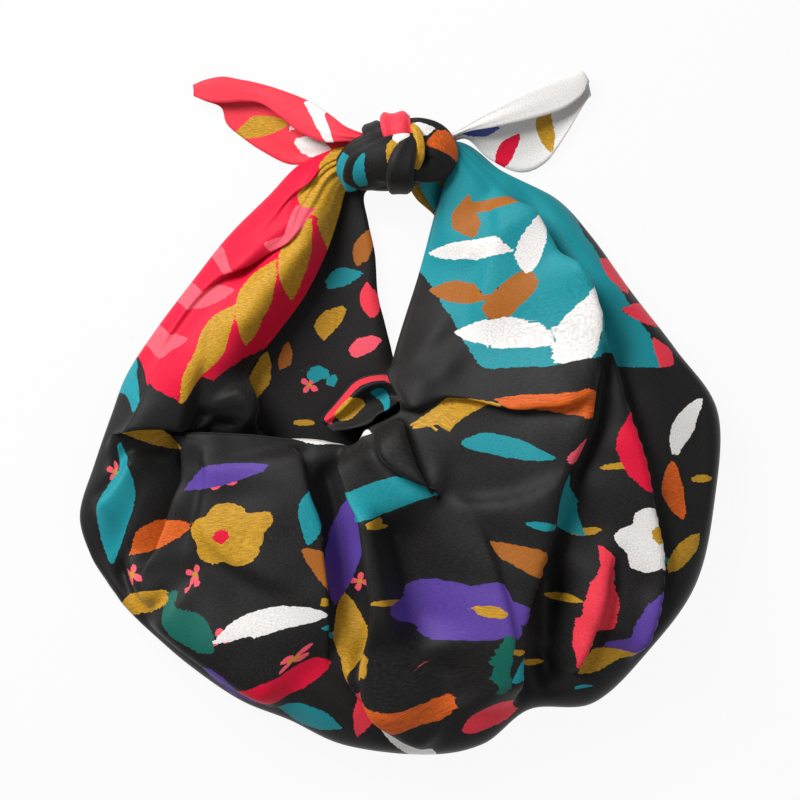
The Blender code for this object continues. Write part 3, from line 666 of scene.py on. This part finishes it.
def band_sheet(name, rows, pleats, sideways, first):
    """An arched band along its places: a pleated oval arc, open underneath."""
    place = through(rows, np.linspace(0, len(rows) - 1, BAND_STEPS))
    centre, half_wide, half_thick = place[:, :3], place[:, 3], place[:, 4]
    run = np.gradient(centre, axis=0)
    run /= np.linalg.norm(run, axis=1)[:, None]
    if name == "core":
        outward = np.array([[0, 0, 1.0]])
    else:
        outward = (centre - np.array(KNOT_CENTRE, float)) * np.array([sideways, 1, BAND_FACING])
    across = np.cross(outward, run)
    across /= np.linalg.norm(across, axis=1)[:, None]
    outward = np.cross(run, across)
    turn = np.linspace(-BAND_TURN, BAND_TURN, BAND_ROWS)
    along = np.linspace(0, 1, BAND_STEPS)
    pleat = pleats * np.cos(5.1 * turn[None] + 2.5 * along[:, None] + first) * np.cos(turn / 2)[None]
    grid = (
        centre[:, None]
        + across[:, None] * (half_wide[:, None] * flattened(np.sin(turn))[None])[..., None]
        + outward[:, None] * (half_thick[:, None] * flattened(np.cos(turn))[None] + pleat)[..., None]
    )
    length = np.cumsum(np.concatenate([[0], np.linalg.norm(np.diff(centre, axis=0), axis=1)]))
    flat = np.stack(np.broadcast_arrays(length[:, None], half_wide[:, None] * turn[None]), axis=2)
    return grid, flat


# Flat places of a band are its length from the first place and its breadth round the crown.
KNOT_PRINT = {
    "top": (("coral", "stroke", 22, 0, 60, 30, 0, 0),),
    "hem": (("white", "stroke", 10, 0, 30, 10, 0, 0),),
    "upper": (("teal", "leaf", 60, 0, 20, 26, 0, 0),),
    "lobe": (("gold", "leaf", 22, 8, 16, 7, 60, 0), ("teal", "leaf", 46, -6, 13, 5, 20, 0)),
    "right": (("orange", "leaf", 32, 4, 18, 7, 60, 0), ("white", "leaf", 10, -4, 14, 5, 30, 0)),
    "strip": (("gold", "stroke", 20, 0, 40, 20, 0, 0),),
}
knot_sheets = [
    band_sheet(name, rows, pleats, sideways, n)
    for n, (name, (pleats, sideways, rows)) in enumerate(KNOT_BANDS.items())
]

# --- Hood and corner ------------------------------------------------------------------------
# A hood of cloth stands in the mouth beside the necklines, and a corner of the lower tail comes out
# under the knot. Each is a net of places: rows along it, and three or four places across.

HOOD = (
    ((-60, -5, 14), (-58, -7, 22), (-55, -10, 22), (-50, -14, 26)),
    ((-49, 6, 8), (-45, 2, 30), (-41, -4, 24), (-36, -12, 34)),
    ((-33, 24, 8), (-29, 18, 32), (-25, 8, 22), (-22, -8, 36)),
    ((-13, 29, 8), (-13, 23, 32), (-14, 14, 20), (-16, -2, 34)),
    ((0, 26, 12), (-1, 20, 30), (-4, 12, 26), (-9, 2, 34)),
    ((6, 22, 16), (4, 17, 28), (2, 12, 28), (-2, 6, 30)),
)
CORNER = (
    ((8, 181, 22), (22, 182, 24), (38, 184, 12)),
    ((14, 172, 18), (24, 173, 20), (37, 174, 9)),
    ((20, 162, 12), (26, 163, 14), (34, 163, 7)),
    ((27, 150, 6), (29, 151, 8), (31, 151, 5)),
)
HOOD_PRINT = (
    ("coral", "stroke", 46, 14, 34, 9, 0, 0), ("gold", "leaf", 24, 32, 18, 8, 40, 0),
    ("teal", "leaf", 56, 40, 14, 7, 20, 0), ("orange", "leaf", 78, 30, 12, 7, 70, 0),
)
CORNER_PRINT = (
    ("teal", "stroke", 20, 14, 60, 40, 0, 0), ("gold", "leaf", 16, 24, 12, 5, 40, 0),
)


def net_sheet(rows, columns, across):
    """A sheet through a net of places, smooth both ways; flat places are its lengths both ways."""
    net = np.array(rows, float)
    lines = through(net.reshape(len(net), -1), np.linspace(0, len(net) - 1, columns))
    at = np.linspace(0, net.shape[1] - 1, across)
    grid = np.stack([through(line.reshape(-1, 3), at) for line in lines])
    along = np.linalg.norm(np.diff(grid[:, across // 2], axis=0), axis=1)
    beside = np.linalg.norm(np.diff(grid, axis=1), axis=2)
    along = np.concatenate([[0], np.cumsum(along)])[:, None] + 0 * grid[..., 0]
    beside = np.concatenate([0 * beside[:, :1], np.cumsum(beside, axis=1)], axis=1)
    return grid, np.stack([along, beside], axis=2)


hood, hood_flat = net_sheet(HOOD, 40, 20)
corner, corner_flat = net_sheet(CORNER, 20, 14)

# --- Whole wrap -----------------------------------------------------------------------------
# All of the cloth is one piece, so its parts go into one mesh, which stands for the CAD solid.

DEPTH_LIMIT = 20.0  # depths inside the print's colours are stored up to this


def grid_faces(columns, rows, first):
    """Quads of a grid whose points are numbered row by row from first."""
    index = first + np.arange(columns * rows).reshape(columns, rows)
    quads = np.stack([index[:-1, :-1], index[:-1, 1:], index[1:, 1:], index[1:, :-1]], 2)
    return quads.reshape(-1, 4)


grids = [
    (bag_places, bag_flat, bag_inside),
    (left_tail, left_tail_flat, painted(left_tail_flat, LEFT_TAIL_PRINT)),
    (right_tail, right_tail_flat, painted(right_tail_flat, RIGHT_TAIL_PRINT)),
    (hood, hood_flat, painted(hood_flat, HOOD_PRINT)),
    (corner, corner_flat, painted(corner_flat, CORNER_PRINT)),
]
for name, (places, flat) in zip(KNOT_BANDS, knot_sheets):
    grids.append((places, flat, painted(flat, KNOT_PRINT.get(name, ()))))
faces = []
count = 0
for places, flat, inside in grids:
    faces.append(grid_faces(*places.shape[:2], count))
    count += places.shape[0] * places.shape[1]
faces = np.concatenate(faces)
points = np.concatenate([places.reshape(-1, 3) for places, flat, inside in grids])
flats = np.concatenate([flat.reshape(-1, 2) for places, flat, inside in grids])

mesh = bpy.data.meshes.new("wrap")
mesh.from_pydata((points * MM).tolist(), [], faces.tolist())
mesh.shade_smooth()
layer = mesh.uv_layers.new(name="print")
layer.data.foreach_set("uv", (flats[faces.ravel()] * MM).astype(np.float32).ravel())
for name in (*PRINT_COLOURS, *PRINT_REGIONS):
    depth = np.concatenate([inside[name].ravel() for places, flat, inside in grids])
    field = mesh.attributes.new(name, "FLOAT", "POINT")
    field.data.foreach_set("value", np.clip(depth, -DEPTH_LIMIT, DEPTH_LIMIT).astype(np.float32))
wrap = bpy.data.objects.new("wrap", mesh)
bpy.context.collection.objects.link(wrap)
thick = wrap.modifiers.new("cloth", "SOLIDIFY")
thick.thickness = 2 * CLOTH_HALF * MM
thick.offset = 0

# Printed polyester: the colours lie on charcoal black with paler threads in it. They have ragged
# edges as of cut paper, and brushed streaks in the gold and orange. The fine plain weave and the
# soft waves of slack cloth are bumps.
BLACK = (20, 19, 19)
BLACK_THREAD = (46, 44, 43)  # the paler threads that show in the black
EDGE_RAG = 2.6  # how far the edges of the colours wander, in millimetres
EDGE_SWAY = 3.0  # the same over long waves, as of hand-cut paper
EDGE_SOFT = 0.25
SLACK_HEIGHT = 2.0  # soft waves of the loose cloth between its folds
WEAVE_PITCH = 0.9  # millimetres between two threads as drawn
DASH_PITCH = 44.0
DASH_RADIUS = 4.2
DASH_SQUEEZE = (0.5, 1.6, 0.0)  # makes a round dot a short dash
STAR_PITCH = 62.0
STAR_RADIUS = 7.0
STAR_PETALS = 4
STAR_HEART = 1.9

cloth = bpy.data.materials.new("printed_cloth")
cloth.use_nodes = True
nodes, links = cloth.node_tree.nodes, cloth.node_tree.links
shader = nodes["Principled BSDF"]
shader.inputs["Roughness"].default_value = 0.6
shader.inputs["Specular IOR Level"].default_value = 0.22
shader.inputs["Sheen Weight"].default_value = 0.05
shader.inputs["Sheen Roughness"].default_value = 0.45


def linear(colour):
    """A colour from 0 to 255 as linear light, with full alpha."""
    return tuple((part / 255) ** 2.2 for part in colour) + (1.0,)


def put(node, socket, value):
    """Link a socket to its input, or set the input to a number or colour."""
    if isinstance(value, bpy.types.NodeSocket):
        links.new(value, node.inputs[socket])
    else:
        node.inputs[socket].default_value = value


def maths(operation, *values, clamp=False):
    """Output of a Math node on up to three numbers or sockets."""
    node = nodes.new("ShaderNodeMath")
    node.operation = operation
    node.use_clamp = clamp
    for n, value in enumerate(values):
        put(node, n, value)
    return node.outputs[0]


def noise(scale, detail=2.0, stretch=(1, 1, 1), turn=0.0):
    """Noise on the flat print, at a scale per metre, stretched and turned by a Mapping node."""
    place = nodes.new("ShaderNodeMapping")
    place.inputs["Rotation"].default_value = (0, 0, turn)
    place.inputs["Scale"].default_value = stretch
    links.new(flat_place, place.inputs["Vector"])
    node = nodes.new("ShaderNodeTexNoise")
    node.inputs["Scale"].default_value = scale
    node.inputs["Detail"].default_value = detail
    links.new(place.outputs["Vector"], node.inputs["Vector"])
    return node.outputs["Fac"]


def over(under, colour, mask):
    """One colour laid over another where the mask is 1."""
    node = nodes.new("ShaderNodeMix")
    node.data_type = "RGBA"
    put(node, "Factor", mask)
    # 6, 7 and 2 are the sockets for colours of a Mix node, whose names it repeats for other data
    put(node, 6, under)
    put(node, 7, colour)
    return node.outputs[2]


def cells(pitch, shift):
    """Vector from the middle of the nearest of many scattered cells, in millimetres, and its chance."""
    scaled = nodes.new("ShaderNodeMapping")
    scaled.inputs["Location"].default_value = (shift, 0.4 * shift, 0)
    scaled.inputs["Scale"].default_value = (1 / (pitch * MM),) * 3
    links.new(flat_place, scaled.inputs["Vector"])
    node = nodes.new("ShaderNodeTexVoronoi")
    node.voronoi_dimensions = "2D"
    node.inputs["Scale"].default_value = 1.0
    node.inputs["Randomness"].default_value = 0.75
    links.new(scaled.outputs["Vector"], node.inputs["Vector"])
    off = nodes.new("ShaderNodeVectorMath")
    off.operation = "SUBTRACT"
    links.new(scaled.outputs["Vector"], off.inputs[0])
    links.new(node.outputs["Position"], off.inputs[1])
    sized = nodes.new("ShaderNodeVectorMath")
    sized.operation = "SCALE"
    sized.inputs["Scale"].default_value = pitch
    links.new(off.outputs[0], sized.inputs[0])
    return sized.outputs[0], node.outputs["Color"]


def length_of(vector):
    """Length of a vector."""
    node = nodes.new("ShaderNodeVectorMath")
    node.operation = "LENGTH"
    links.new(vector, node.inputs[0])
    return node.outputs["Value"]


def field(name):
    """Depth inside a printed colour or region, from its attribute."""
    node = nodes.new("ShaderNodeAttribute")
    node.attribute_name = name
    return node.outputs["Fac"]


def sharp(depth):
    """Mask that is 1 where a depth in millimetres is above 0."""
    return maths("MULTIPLY_ADD", depth, 1 / EDGE_SOFT, 0.5, clamp=True)


flat_map = nodes.new("ShaderNodeUVMap")
flat_map.uv_map = "print"
flat_place = flat_map.outputs["UV"]
rag = maths("MULTIPLY_ADD", noise(420.0, 2.0), EDGE_RAG, -EDGE_RAG / 2)
sway = maths("MULTIPLY_ADD", noise(75.0, 0.0), EDGE_SWAY, -EDGE_SWAY / 2)
rag = maths("ADD", rag, sway)

# short dashes and small four-petalled flowers on the black ground
off, chance = cells(DASH_PITCH, shift=3.1)
squeezed = nodes.new("ShaderNodeVectorMath")
squeezed.operation = "MULTIPLY"
links.new(off, squeezed.inputs[0])
squeezed.inputs[1].default_value = DASH_SQUEEZE
dash = maths("ADD", maths("SUBTRACT", DASH_RADIUS, length_of(squeezed.outputs[0])), rag)
dash = maths("MULTIPLY", sharp(dash), sharp(field("dashed")))
dash_colour = over(linear(PRINT_COLOURS["gold"]), linear(PRINT_COLOURS["teal"]),
                   maths("GREATER_THAN", chance, 0.5))
threads = maths("MULTIPLY_ADD", noise(760.0, 3.0, (1.0, 2.2, 1.0), 0.2), 2.2, -0.85, clamp=True)
ground = over(linear(BLACK), linear(BLACK_THREAD), threads)
colour = over(ground, dash_colour, dash)

off, chance = cells(STAR_PITCH, shift=7.7)
radius = length_of(off)
parts = nodes.new("ShaderNodeSeparateXYZ")
links.new(off, parts.inputs[0])
angle = maths("ADD", maths("ARCTAN2", parts.outputs["Y"], parts.outputs["X"]), chance)
petals = maths("ABSOLUTE", maths("COSINE", maths("MULTIPLY", angle, STAR_PETALS / 2)))
star = maths("SUBTRACT", maths("MULTIPLY", maths("POWER", petals, 0.8), STAR_RADIUS), radius)
starred = sharp(field("starred"))
star_mask = maths("MULTIPLY", sharp(maths("ADD", star, rag)), starred)
colour = over(colour, linear(PRINT_COLOURS["salmon"]), star_mask)
heart = maths("MULTIPLY", sharp(maths("SUBTRACT", STAR_HEART, radius)), starred)
colour = over(colour, linear(PRINT_COLOURS["gold"]), heart)

# printed colours
streak = noise(260.0, 4.0, (1.0, 4.0, 1.0), 0.5)
for name, tone in PRINT_COLOURS.items():
    mask = sharp(maths("ADD", field(name), rag))
    if name in ("gold", "orange"):
        lighter = tuple(min(255, 1.12 * part + 4) for part in tone)
        contrast = maths("MULTIPLY_ADD", streak, 3.0, -1.0, clamp=True)
        tone = over(linear(tuple(0.9 * part for part in tone)), linear(lighter), contrast)
    else:
        tone = linear(tone)
    colour = over(colour, tone, mask)

# grain of the threads in the colour, and the weave as a bump
grain = maths("MULTIPLY_ADD", noise(1100.0, 1.0), 0.8, 0.6)
grained = nodes.new("ShaderNodeVectorMath")
grained.operation = "SCALE"
links.new(colour, grained.inputs[0])
links.new(grain, grained.inputs["Scale"])
links.new(grained.outputs[0], shader.inputs["Base Color"])

parts = nodes.new("ShaderNodeSeparateXYZ")
links.new(flat_place, parts.inputs[0])
thread_turn = 2 * math.pi / (WEAVE_PITCH * MM)
warp = maths("SINE", maths("MULTIPLY", parts.outputs["X"], thread_turn))
weft = maths("SINE", maths("MULTIPLY", parts.outputs["Y"], thread_turn))
weave = nodes.new("ShaderNodeBump")
weave.inputs["Strength"].default_value = 0.12
weave.inputs["Distance"].default_value = 0.0002
links.new(maths("MULTIPLY", warp, weft), weave.inputs["Height"])
slack = nodes.new("ShaderNodeBump")
slack.inputs["Strength"].default_value = 0.25
slack.inputs["Distance"].default_value = SLACK_HEIGHT * MM
links.new(noise(20.0, 1.0, (1.0, 0.5, 1.0), 0.7), slack.inputs["Height"])
links.new(slack.outputs["Normal"], weave.inputs["Normal"])
links.new(weave.outputs["Normal"], shader.inputs["Normal"])
mesh.materials.append(cloth)

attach(wrap, "root")
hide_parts("cloth")
